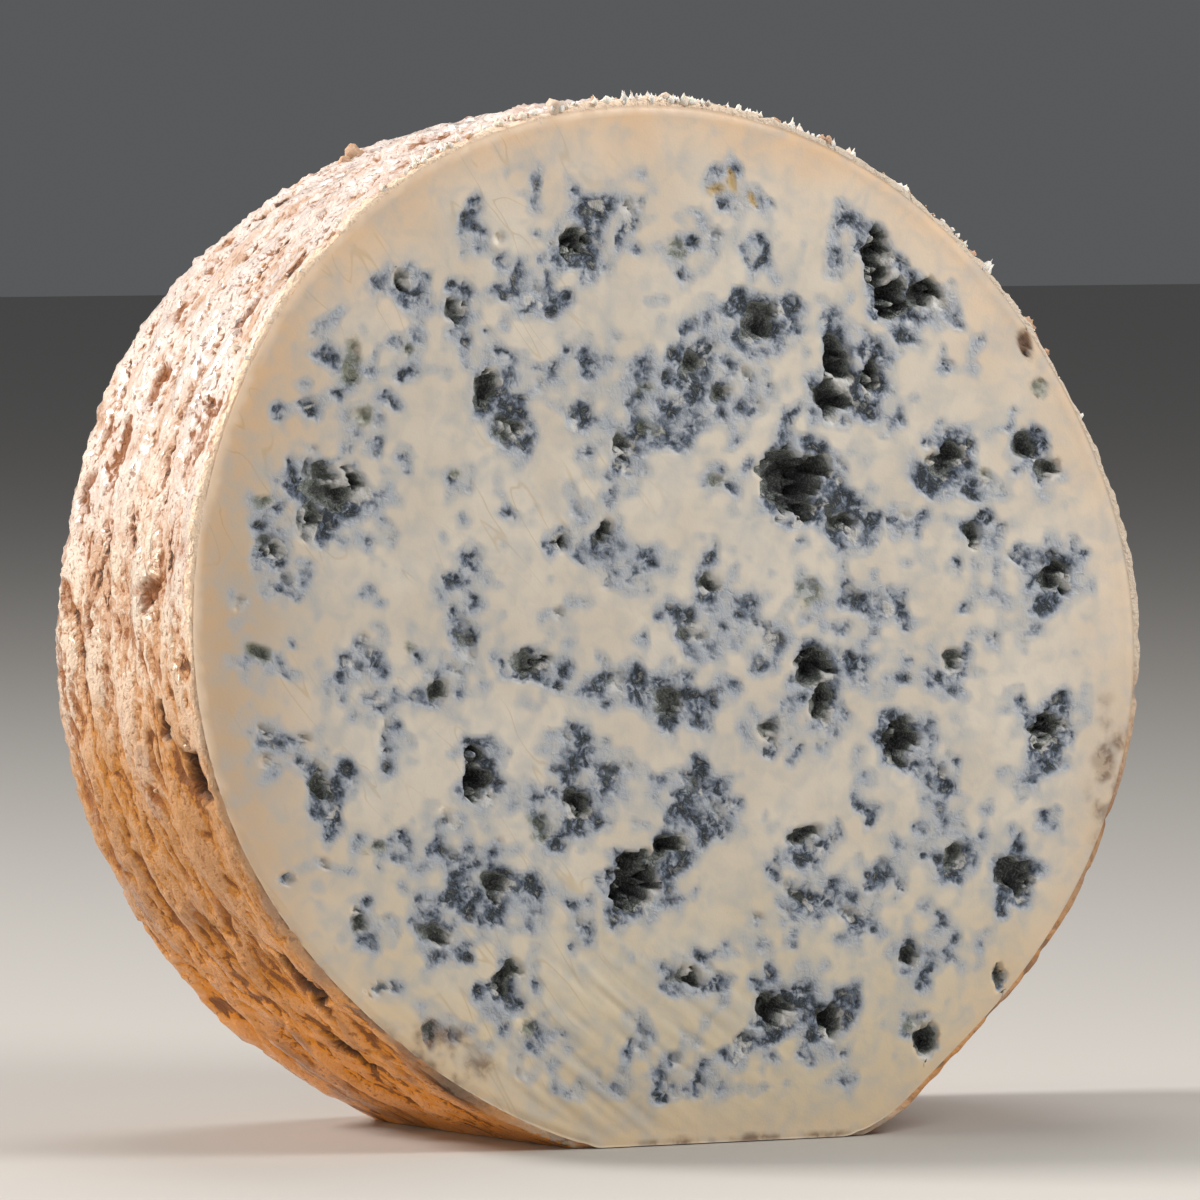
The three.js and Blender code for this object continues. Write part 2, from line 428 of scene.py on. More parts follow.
# Mould cavities on the cut face: place from the axis, width, height, turn in degrees, depth
CAVITIES = np.array([
    [-13.6, 48.2, 4.6, 5.6, -60, 4.2], [-36.3, 43.6, 3.0, 3.4, 60, 2.6],
    [-29.0, 40.4, 4.0, 4.2, 0, 3.2], [-24.6, 30.6, 3.6, 5.6, -15, 4.2],
    [-22.2, 25.4, 4.4, 4.6, 10, 2.0], [-45.4, 18.6, 10.6, 5.8, -22, 3.4],
    [-48.6, 15.0, 3.0, 6.0, -10, 2.4],
    [-53.8, 11.4, 3.8, 3.0, -20, 2.2], [-15.1, 11.5, 3.8, 2.8, -20, 2.6],
    [-9.0, 12.5, 2.8, 4.0, -25, 3.2], [-7.0, 22.7, 3.0, 4.2, 0, 2.6],
    [28.2, 46.2, 4.4, 8.6, 15, 6.0], [30.2, 41.2, 6.0, 6.0, 0, 7.0],
    [34.8, 41.2, 6.4, 3.8, 5, 5.0], [11.8, 38.5, 7.0, 5.6, 15, 3.8],
    [2.9, 33.4, 3.6, 4.2, 0, 2.6], [22.6, 32.6, 4.2, 8.8, 5, 6.0],
    [21.6, 28.6, 5.4, 4.4, 0, 5.0], [27.4, 31.2, 2.2, 6.4, -10, 3.6],
    [17.0, 18.4, 10.4, 9.0, -15, 8.0], [23.3, 13.2, 5.0, 5.0, 0, 3.0],
    [37.6, 20.6, 7.0, 3.6, 40, 4.2], [48.9, 22.3, 3.6, 4.4, 40, 3.2],
    [52.3, 19.6, 3.6, 3.2, 0, 3.0], [41.4, 11.2, 3.2, 3.8, -30, 2.6],
    [53.1, 5.8, 5.4, 5.2, 0, 4.4], [5.0, 5.9, 3.6, 3.4, 0, 2.6],
    [-19.3, -3.4, 5.6, 3.0, 5, 3.2], [-31.6, -6.4, 3.6, 3.0, 0, 3.0],
    [-47.3, -16.9, 3.0, 5.6, 15, 2.4], [-26.3, -16.9, 4.6, 7.2, 5, 6.4],
    [-12.5, -20.6, 4.4, 4.6, 0, 4.0], [-24.0, -30.6, 4.2, 3.6, -20, 3.2],
    [-31.6, -36.5, 6.0, 2.6, -25, 3.2], [-22.7, -42.5, 4.8, 3.6, 35, 3.2],
    [-42.0, -34.6, 2.4, 4.2, 0, 2.0], [19.2, -5.2, 6.0, 5.4, 20, 6.0],
    [20.8, -9.2, 3.2, 5.6, -10, 4.2], [-0.2, -8.6, 5.2, 4.2, -15, 3.0],
    [38.7, -4.7, 3.8, 2.6, -20, 3.0], [13.3, -12.4, 4.0, 3.2, 0, 2.8],
    [31.3, -14.8, 5.6, 6.2, 0, 5.2], [51.6, -14.0, 4.4, 6.6, -35, 4.6],
    [-5.6, -31.0, 7.4, 7.6, 10, 8.0], [-0.6, -27.0, 5.4, 3.6, 35, 5.0],
    [18.1, -25.9, 5.4, 3.2, 35, 4.0], [39.3, -29.0, 3.8, 4.2, 0, 3.2],
    [47.3, -31.6, 5.6, 5.6, 0, 4.4], [32.7, -41.6, 2.8, 3.8, 20, 3.4],
    [45.3, -44.7, 2.4, 4.2, 0, 2.2], [2.1, -42.7, 4.8, 3.4, -15, 3.2],
    [14.4, -47.2, 5.6, 5.0, -50, 6.4], [21.7, -49.0, 3.6, 6.4, -10, 5.0],
    [35.0, -52.2, 4.2, 5.0, 0, 4.2],
])


class Tint(Enum):
    """What colours a small spot on the cut face."""

    BLUE = "blue"
    OLIVE = "olive"
    OCHRE = "ochre"
    BROWN = "brown"


# Small spots on the cut face: place from the axis, width, height, turn, depth, tint
SPOTS = [
    (-23.4, 49.0, 2.2, 1.8, -30, 0.9, Tint.BLUE), (-27.6, 51.6, 1.8, 1.4, -40, 0.7, Tint.BLUE),
    (-35.6, 35.3, 1.7, 2.0, 0, 1.0, Tint.OLIVE), (-18.7, 42.1, 4.6, 3.2, -20, 0.7, Tint.BLUE),
    (-42.9, 34.1, 3.2, 5.6, 0, 0.9, Tint.OLIVE), (-49.3, 29.0, 4.2, 1.6, 15, 0.7, Tint.BLUE),
    (-41.9, 27.3, 2.6, 2.2, 0, 0.8, Tint.OLIVE), (-17.6, 30.9, 1.8, 1.8, 0, 0.7, Tint.BLUE),
    (-13.6, 27.0, 2.0, 3.4, 25, 0.9, Tint.BLUE), (-29.5, 20.3, 2.0, 1.4, 0, 0.6, Tint.OLIVE),
    (-51.8, 7.2, 3.0, 1.8, -20, 1.0, Tint.BLUE), (-54.8, 17.0, 2.6, 1.6, 0, 0.8, Tint.OLIVE),
    (-13.1, 15.7, 1.6, 2.4, 0, 0.7, Tint.BLUE), (8.1, 56.0, 1.5, 3.2, 20, 0.5, Tint.OCHRE),
    (5.9, 54.7, 2.0, 1.4, 20, 0.4, Tint.OCHRE), (11.2, 53.1, 1.1, 2.6, 25, 0.4, Tint.OCHRE),
    (-6.2, 51.9, 1.6, 3.2, -15, 1.6, Tint.BLUE), (-10.6, 52.4, 3.4, 2.2, 10, 0.8, Tint.BLUE),
    (5.5, 49.4, 2.6, 1.8, 40, 0.8, Tint.BLUE), (0.7, 47.4, 2.8, 2.2, 0, 0.8, Tint.OLIVE),
    (6.5, 29.5, 3.4, 2.6, 30, 1.6, Tint.BLUE), (10.0, 31.8, 3.6, 1.8, -20, 1.0, Tint.BLUE),
    (-0.8, 31.8, 2.4, 1.8, 0, 1.2, Tint.BLUE), (-3.4, 30.0, 2.4, 1.8, 10, 0.9, Tint.OLIVE),
    (-2.6, 25.4, 3.2, 1.6, -20, 0.9, Tint.OLIVE), (42.9, 18.4, 2.0, 1.6, 0, 0.7, Tint.OLIVE),
    (51.0, 29.8, 2.2, 3.4, 20, 1.0, Tint.OLIVE), (48.9, 35.1, 1.8, 3.6, 20, 0.9, Tint.BROWN),
    (5.5, 18.6, 2.0, 1.8, 0, 0.9, Tint.OLIVE), (47.0, 8.4, 2.0, 1.8, 0, 0.9, Tint.BLUE),
    (32.3, 13.4, 2.0, 1.2, 0, 0.6, Tint.BLUE), (19.1, 5.0, 3.6, 3.6, 0, 0.5, Tint.OLIVE),
    (24.6, 4.2, 4.2, 1.8, -15, 0.9, Tint.BLUE), (29.0, 2.6, 3.6, 1.6, -20, 0.7, Tint.BLUE),
    (-55.4, -1.4, 3.4, 2.6, -20, 1.3, Tint.OLIVE), (-42.2, -1.8, 3.6, 5.6, -15, 0.7, Tint.BLUE),
    (-58.1, 4.6, 1.8, 2.6, -10, 0.6, Tint.BLUE), (-34.9, -1.1, 1.8, 1.8, 0, 0.9, Tint.OLIVE),
    (-28.0, -0.3, 3.0, 5.6, 15, 0.8, Tint.BLUE), (-15.4, 2.7, 2.2, 1.8, 0, 1.1, Tint.BLUE),
    (-40.2, -7.0, 3.4, 1.4, 5, 0.7, Tint.BLUE), (-54.9, -10.4, 2.2, 2.8, 20, 0.9, Tint.BLUE),
    (-49.6, -12.0, 2.4, 1.8, -30, 0.9, Tint.BLUE), (-54.4, -14.5, 2.2, 1.8, 0, 0.9, Tint.BLUE),
    (-38.6, -12.3, 1.5, 4.4, 0, 0.8, Tint.BLUE), (-45.8, -20.0, 1.8, 3.6, -10, 1.1, Tint.BLUE),
    (-14.7, -12.5, 3.2, 2.4, -30, 0.8, Tint.BLUE), (-30.3, -22.1, 1.8, 2.2, 20, 0.9, Tint.BLUE),
    (-23.4, -25.0, 1.8, 1.4, 0, 0.6, Tint.BLUE), (-17.8, -23.3, 2.8, 4.2, 0, 0.7, Tint.OLIVE),
    (-46.6, -27.0, 2.6, 1.5, -10, 0.9, Tint.BLUE), (-39.7, -25.6, 3.2, 1.6, 0, 1.1, Tint.OLIVE),
    (-51.9, -28.9, 2.6, 1.8, 0, 0.7, Tint.BLUE), (-30.0, -26.6, 4.0, 2.2, -20, 0.9, Tint.BLUE),
    (-12.6, -35.7, 2.0, 2.4, 0, 0.9, Tint.BLUE), (-39.2, -42.7, 4.2, 1.8, 5, 1.1, Tint.BLUE),
    (-19.3, -48.7, 2.8, 2.0, 30, 0.9, Tint.OLIVE), (-33.1, -49.1, 2.0, 4.2, 10, 0.9, Tint.BROWN),
    (-29.6, -48.8, 2.6, 2.6, 0, 0.7, Tint.BLUE), (-20.8, -54.3, 1.8, 1.8, 0, 0.6, Tint.BLUE),
    (2.4, 0.2, 5.6, 3.6, -30, 1.1, Tint.BLUE), (13.3, -1.4, 2.0, 5.2, -20, 1.3, Tint.BLUE),
    (-8.1, -6.0, 4.8, 2.6, 0, 0.9, Tint.BLUE), (37.1, -18.6, 1.8, 2.2, 0, 1.3, Tint.BLUE),
    (-8.1, -16.9, 3.6, 2.8, 0, 0.9, Tint.BLUE), (2.4, -19.1, 4.6, 3.0, -40, 0.9, Tint.BLUE),
    (6.0, -22.0, 2.4, 3.2, 20, 0.9, Tint.BLUE), (16.5, -32.6, 7.0, 1.6, -40, 1.1, Tint.BLUE),
    (24.5, -35.7, 5.0, 1.8, -10, 1.1, Tint.BLUE), (11.8, -35.5, 1.4, 1.4, 0, 1.0, Tint.BLUE),
    (29.2, -30.1, 2.0, 1.6, 0, 0.7, Tint.BLUE), (9.6, -51.9, 2.0, 5.0, -35, 1.3, Tint.BLUE),
    (33.5, -50.0, 3.0, 2.2, 0, 0.7, Tint.OLIVE), (-4.4, -50.3, 2.0, 4.0, 10, 0.7, Tint.BLUE),
    (0.7, -52.9, 3.2, 2.0, -20, 0.8, Tint.BLUE), (21.8, 49.7, 1.6, 5.0, -30, 0.4, Tint.BLUE),
]

# Stretches of veined paste: place from the axis, width, height, turn, strength
PATCHES = np.array([
    [-2.1, 29.5, 23, 12, -10, 0.62], [-20.5, 41.9, 7, 5, 0, 0.6], [-10.9, 51.5, 9, 6, 0, 0.55],
    [-8.2, 9.7, 16, 6, -10, 0.62], [-26.2, 7.3, 4, 8, 0, 0.5], [25.7, 4.2, 13, 3.5, -15, 0.5],
    [5.4, 1.1, 11, 8, -20, 0.62], [-4.1, -7.2, 14, 5, -5, 0.6], [-9.6, -16.2, 13, 8, 0, 0.6],
    [4.0, -20.6, 10, 8, -20, 0.6], [-24.5, -31.0, 17, 8, -15, 0.65], [-46.3, -18, 7, 8, 0, 0.55],
    [-42.2, -3.2, 6, 7, 0, 0.5], [23.0, 13.6, 9, 6, -20, 0.7], [28.5, 30.0, 6, 8, 0, 0.55],
    [39.8, 18.6, 8, 5, 0, 0.55], [53.4, 6.6, 6, 6, 0, 0.55], [55.0, -11.4, 9, 4, 15, 0.5],
    [19.6, -46.8, 13, 9, 0, 0.66], [24.4, -33, 12, 8, -35, 0.5], [2.0, -54.6, 13, 4.5, 30, 0.55],
    [-17.7, -21.0, 6, 8, 0, 0.5], [9.4, 37.5, 10, 6, 0, 0.55], [46.1, 1.7, 10, 8, 0, 0.4],
    [-35.4, 42.0, 6, 9, 20, 0.5], [-22.6, 26.4, 7, 7, 0, 0.6], [-42.0, 15.6, 10, 8, -20, 0.5],
    [38.2, -27, 12, 8, 20, 0.42], [-33, -49.4, 9, 6, 0, 0.5], [13.5, -40.6, 8, 5, -30, 0.42],
    [-55.6, -12.6, 6, 8, 0, 0.42], [22.6, 50.0, 6, 7, 20, 0.4], [-53.4, 9.8, 5, 8, 0, 0.45],
    [36.6, -39.0, 9, 9, 0, 0.36], [-20.0, -52.4, 9, 5, 0, 0.42], [-37.0, -13.0, 4, 8, 0, 0.4],
])

# Pits in the rind: angle, distance behind the cut face, length round, width along the axis, depth
RIND_PITS = np.array([
    [195, 4.6, 9.5, 5.0, 2.8], [188, 11.0, 4.5, 3.6, 1.8], [174, 12.5, 5.0, 3.2, 1.5],
    [214, 21.0, 4.5, 4.2, 2.0], [222, 7.0, 10.0, 4.2, 1.9], [176, 31.0, 6.0, 3.6, 1.5],
    [150, 27.0, 7.0, 3.4, 1.4], [142, 9.0, 6.5, 3.2, 1.4], [236, 17.0, 13.0, 3.6, 1.7],
    [162, 38.0, 6.5, 3.4, 1.4], [38, 3.0, 5.5, 3.4, 1.6], [24, 4.0, 6.5, 4.0, 1.8],
    [8, 26.0, 8.0, 4.0, 1.8], [-20, 14.0, 7.5, 4.0, 1.8], [66, 30.0, 7.0, 3.6, 1.5],
    [-42, 33.0, 8.5, 3.8, 1.8], [98, 20.0, 6.0, 3.4, 1.4], [112, 36.0, 7.0, 3.6, 1.5],
])

# Long furrows of the rind as the source has them: spacing, turns, depth, start
FURROWS = ((8.5, 5, 0.42, 0.4), (12.5, -9, 0.38, 2.1), (17.0, 14, 0.3, 4.0))


def reach(x: Array, z: Array, rows: Array) -> Array:
    """How far each point lies from each ellipse's middle: 1 is on its rim.

    Args:
        x: Places across, any shape.
        z: Places up, the same shape.
        rows: One ellipse a row: place, width, height, turn in degrees.

    Returns:
        An array with one more axis, for the ellipses.
    """
    turn = np.radians(rows[:, 4])
    dx = x[..., None] - rows[:, 0]
    dz = z[..., None] - rows[:, 1]
    along = (dx * np.cos(turn) + dz * np.sin(turn)) / (rows[:, 2] / 2)
    across = (dz * np.cos(turn) - dx * np.sin(turn)) / (rows[:, 3] / 2)
    return np.hypot(along, across)


def mean_radius(rows: Array) -> Array:
    """The radius of the circle with each ellipse's area: half the root of width times height."""
    return np.sqrt(rows[:, 2] * rows[:, 3]) / 2


def bell(x: Array, z: Array, middle: tuple[float, float], spread: tuple[float, float]) -> Array:
    """A bell over an ellipse: exp of minus the squared distances from its middle, in spreads."""
    return np.exp(-(((x - middle[0]) / spread[0]) ** 2 + ((z - middle[1]) / spread[1]) ** 2))


# ---------------------------------------------------------------- finishes


@dataclass(frozen=True)
class PasteFinish:
    """The cut paste: cream, veined with blue mould, dark and velvety in the cavities, where painted
    shade deepens with depth.
    """

    cream: Colour = tone(224, 212, 195)
    ivory: Colour = tone(234, 224, 209)
    butter: Colour = tone(226, 210, 176)
    # amber_glow: partly the paste's own amber near the rind, partly a painted glow of light shining
    # through the rind
    amber_glow: Colour = tone(246, 200, 150)
    # left_shade: painted shade, the paste darker towards the left edge of the face
    left_shade: Colour = tone(190, 166, 138)
    # crust_glow: the pale crust at the cut edge, made brighter as a painted glow of back light
    # through the edge
    crust_glow: Colour = tone(255, 228, 200)
    veil: Colour = tone(190, 192, 192)
    haze: Colour = tone(176, 184, 196)
    slate: Colour = tone(84, 97, 117)
    # mould: the dark mould of the veins, also laid as painted shade in the deepest hollows
    mould: Colour = tone(36, 43, 50)
    curd: Colour = tone(214, 212, 208)
    sage: Colour = tone(134, 140, 132)
    # velvet_shade: the velvety mould in the cavities, partly painted shade as it darkens with depth
    velvet_shade: Colour = tone(94, 98, 97)
    powder: Colour = tone(184, 187, 188)
    olive: Colour = tone(100, 106, 82)
    ochre: Colour = tone(190, 156, 84)
    brown: Colour = tone(118, 86, 62)
    front: float = -Round.thickness / 2

    def material(self) -> bpy.types.Material:
        """Layers cream, haze, veins, spots and velvet, each over the one before, among them a
        painted glow near the upper-left rim, painted shade on the left and in deep hollows, and a
        painted bright crust at the upper-left edge.

        The masks of the mesh say where each layer lies, and five noises from 0.3 to 14 mm tear
        its edge. Thin hairs follow the lines on which a drawn-out noise crosses its middle.

        Returns:
            The material.
        """
        made = Recipe("blue_paste")
        halo, fleck, shade = made.masks("veins")
        olive, ochre, brown = made.masks("spots")
        rim, bare, lump = made.masks("edge")
        x, y, z = made.axes()
        depth = y - self.front
        broad = made.noise((14, 14, 14), 2.0)
        slow = made.noise((2.9, 2.9, 2.9), 2.0, 0.5, 0.4) - 0.5
        crumbly = made.noise((1.15, 1.15, 1.15), 3.0, 0.55, 0.6) - 0.5
        ragged = made.noise((0.48, 0.48, 0.48), 3.0, 0.6, 0.3) - 0.5
        fine = made.noise((0.3, 0.3, 0.3), 3.0, 0.6)
        curve = made.noise((26, 26, 5.0), 1.0, 0.5, 1.3, turn=0.9) - 0.5
        hairs = made.step(curve.highest(curve * -1.0), 0.018, 0.002) * made.step(broad, 0.46, 0.6)
        mist = halo * (1.0 + slow * 2.4 + crumbly * 1.6)
        hazy = made.step(mist, 0.02, 0.7)
        torn = fleck * (1.0 + slow * 1.4 + crumbly * 3.6 + ragged * 1.3)
        blue = made.step(torn + mist * 0.35, 0.2, 1.1)
        pale = made.step(crumbly * 1.2 + slow * 0.6 + lump * 0.55, 0.1, 0.4) * (hazy * 0.5 + lump)
        mottled = made.step(slow + crumbly, -0.12, 0.12)
        paste = made.layers(
            self.cream,
            (made.step(broad, 0.35, 0.65), self.ivory),
            (made.step(z + broad * 20.0, 60.0, 14.0, 0.75), self.butter),
            # painted shade: darker towards the left edge of the face
            (made.step(x, -42.0, -62.0, 0.75), self.left_shade),
            # painted glow: amber near the rim, strongest at the upper left where light shines
            # through the rind; partly the paste's own amber
            (rim * 0.74, self.amber_glow),
            (hairs * made.step(x, 6.0, -14.0) * 0.32, self.ochre),
            (made.step(halo + slow * 0.6, -0.1, 0.22, 0.62), self.veil),
            (hazy * 0.86, self.haze),
            (blue * 0.88, self.slate),
            (made.step(torn, 0.58, 1.08) * 0.92, self.mould),
            (pale.lowest(0.85), self.curd),
            (olive * (0.25 + mottled * 0.5), self.olive),
            (ochre * 0.85, self.ochre),
            (brown * (0.5 + mottled * 0.45), self.brown),
        )

        sunk = made.step(depth + crumbly * 1.8 + ragged * 1.2, 0.55, 1.7)
        # Cavity insides: partly the mould's own colours, partly painted shade, lighter near the
        # surface and darker with depth
        inside = made.layers(
            self.sage,
            (made.step(depth + crumbly * 2.0, 0.8, 3.2), self.velvet_shade),
            (made.step(fine + ragged * 0.5, 0.42, 0.7, 0.6), self.powder),
        )
        colour = made.layers(
            paste,
            (sunk, inside),
            # painted shade: the deepest hollows darkened further with the mould colour
            (shade * 0.15, self.mould),
            # painted glow: the bare edge band bright cream on the upper left, partly the pale crust
            # itself
            (bare * made.step(x, 22.0, -4.0, 0.95), self.crust_glow),
        )

        rough = 0.42 + sunk * 0.5 + (fine - 0.5) * 0.2 + blue * 0.3
        height = fine * (0.05 + sunk * 0.6) + ragged * (0.06 + hazy * 0.5) + crumbly * hazy * 1.3
        return made.finish(
            Base_Color=colour,
            Roughness=rough.lowest(1.0),
            Normal=made.bump(height + crumbly * sunk * 2.0, 0.3),
            Specular_IOR_Level=0.4,
        )


@dataclass(frozen=True)
class RindFinish:
    """The rind: moist tan ridges, darker furrows and pits, partly painted shade, and a pale bloom
    high up.
    """

    tan: Colour = tone(206, 170, 144)
    honey: Colour = tone(178, 116, 36)
    ember: Colour = tone(234, 148, 26)
    cream: Colour = tone(240, 224, 206)
    bloom: Colour = tone(240, 226, 219)
    rose: Colour = tone(222, 184, 162)
    russet: Colour = tone(140, 84, 42)
    umber: Colour = tone(44, 28, 18)
    # rim: the pale crust of the cut edge, made bright as a painted glow of back light; laid on the
    # left side only
    rim: Colour = tone(255, 228, 200)
    paste: Colour = tone(222, 206, 186)
    front: float = -Round.thickness / 2

    def material(self) -> bpy.types.Material:
        """Layers tan, honey, bloom and the brown of hollows, with the cut edge cream, which on the
        left is a bright crust colour, partly a painted glow of back light through the edge.

        Honey and ember lie low, partly as painted warm bounce light near the floor; cream and bloom
        lie on what stands high, and russet and umber in what is sunk, partly the rind's own colours
        and partly painted light on raised parts and painted shade in furrows and hollows. Only the
        raised parts are wet.

        Returns:
            The material.
        """
        made = Recipe("rind")
        height, pit, damp = made.masks("relief")
        x, y, z = made.axes()
        behind = y - self.front
        broad = made.noise((22, 12, 22), 3.0) - 0.5
        patchy = made.noise((7, 3.0, 7), 4.0, 0.6, 0.4) - 0.5
        knobby = made.noise((1.3, 0.85, 1.3), 2.0, 0.5, 0.5) - 0.5
        grainy = made.noise((0.6, 0.5, 0.6), 3.0, 0.6, 0.3) - 0.5
        fine = made.noise((0.3, 0.3, 0.3), 2.0, 0.6) - 0.5

        low = made.step(z + broad * 50.0, 75.0, 38.0)
        high = made.step(z + broad * 60.0, 62.0, 96.0)
        raised = (height - 0.5) * (1.0 + low * 0.9) + knobby * 1.1 + grainy * 0.7
        # Low on the rind honey turns to ember next to the floor: partly the rind's own orange,
        # partly painted warm bounce light from below
        warm = made.mix(made.step(z + broad * 24.0, 36.0, 8.0), self.honey, self.ember)
        # painted light: cream on what stands high, partly the rind's own pale knobs
        tops = made.step(raised - patchy * 0.8, 0.0, 0.34)
        flushed = made.mix(made.step(patchy + grainy * 0.5, -0.05, 0.2, 0.8), self.bloom, self.rose)
        white = high * made.step(raised - patchy * 1.4 + broad * 0.6, -0.26, 0.1)
        dimples = made.step(grainy + knobby * 0.7 + patchy * 0.7, -0.1, -0.26, 0.75)
        stained = pit * made.step(patchy + knobby - low * 0.5, -0.16, -0.3, 0.95)
        # painted shade: umber in the deepest furrows and hollows, partly the rind's own umber
        umber_and_shade = made.step(raised + patchy * 1.2 + broad, -0.36, -0.6, 0.9)
        edge = made.step(behind + knobby * 2.4 + grainy, 1.6, 0.7)
        foot = made.step(z, 6.0, 1.5)
        # painted glow: the lip bright cream on the left, the plain paste colour to the right
        lip = made.mix(made.step(x, 22.0, -4.0) * (1.0 - low), self.paste, self.rim)
        colour = made.layers(
            self.tan,
            # partly painted warm bounce light: honey and ember low on the rind
            (low * 0.96, warm),
            (made.step(patchy + broad * 1.4, 0.0, 0.2, 0.7), self.russet),
            (tops * (0.85 - low * 0.72), self.cream),
            (white * 0.92, flushed),
            # painted shade: russet where the rind is sunk, in the furrows; partly its own russet
            (dimples.highest(made.step(raised, -0.1, -0.36, 0.9)), self.russet),
            (pit * (0.9 - low * 0.2), self.russet),
            (stained.highest(umber_and_shade * (1.0 - low * 0.75)), self.umber),
            (edge * (0.95 - low * 0.75).highest(foot * 0.8), lip),
        )

        rough = 0.44 - damp * 0.14 + white * 0.12 + fine * 0.4 + pit * 0.3
        relief = (knobby + grainy * 0.5) * (1.0 - low * 0.45) + fine * 0.15
        wet = (0.5 + damp) * made.step(raised - pit, -0.1, 0.2, 0.8)
        return made.finish(
            Base_Color=colour,
            Roughness=rough,
            Normal=made.bump(relief, 0.6),
            Specular_IOR_Level=0.3,
            Coat_Weight=wet * (1.0 - low * 0.5) * (1.0 - edge),
            Coat_Roughness=0.12,
        )


@dataclass(frozen=True)
class CrumbFinish:
    """Dry crumbs of rind and bloom."""

    light: Colour = tone(252, 242, 230)
    dark: Colour = tone(176, 128, 84)

    def material(self) -> bpy.types.Material:
        """Mixes the two tones by the crumb's own share of brown, with a grainy bump.

        Returns:
            The material.
        """
        made = Recipe("crumb")
        brown = made.masks("kind")[0]
        grain = made.noise((0.5, 0.5, 0.5), 3.0)
        colour = made.mix(brown * (0.6 + grain * 0.4), self.light, self.dark)
        return made.finish(
            Base_Color=colour,
            Roughness=0.6,
            Normal=made.bump(grain, 0.15),
            Subsurface_Weight=0.3,
            Subsurface_Radius=(1.0, 0.6, 0.4),
            Subsurface_Scale=1.0 * MM,
        )


# ---------------------------------------------------------------- the cheese


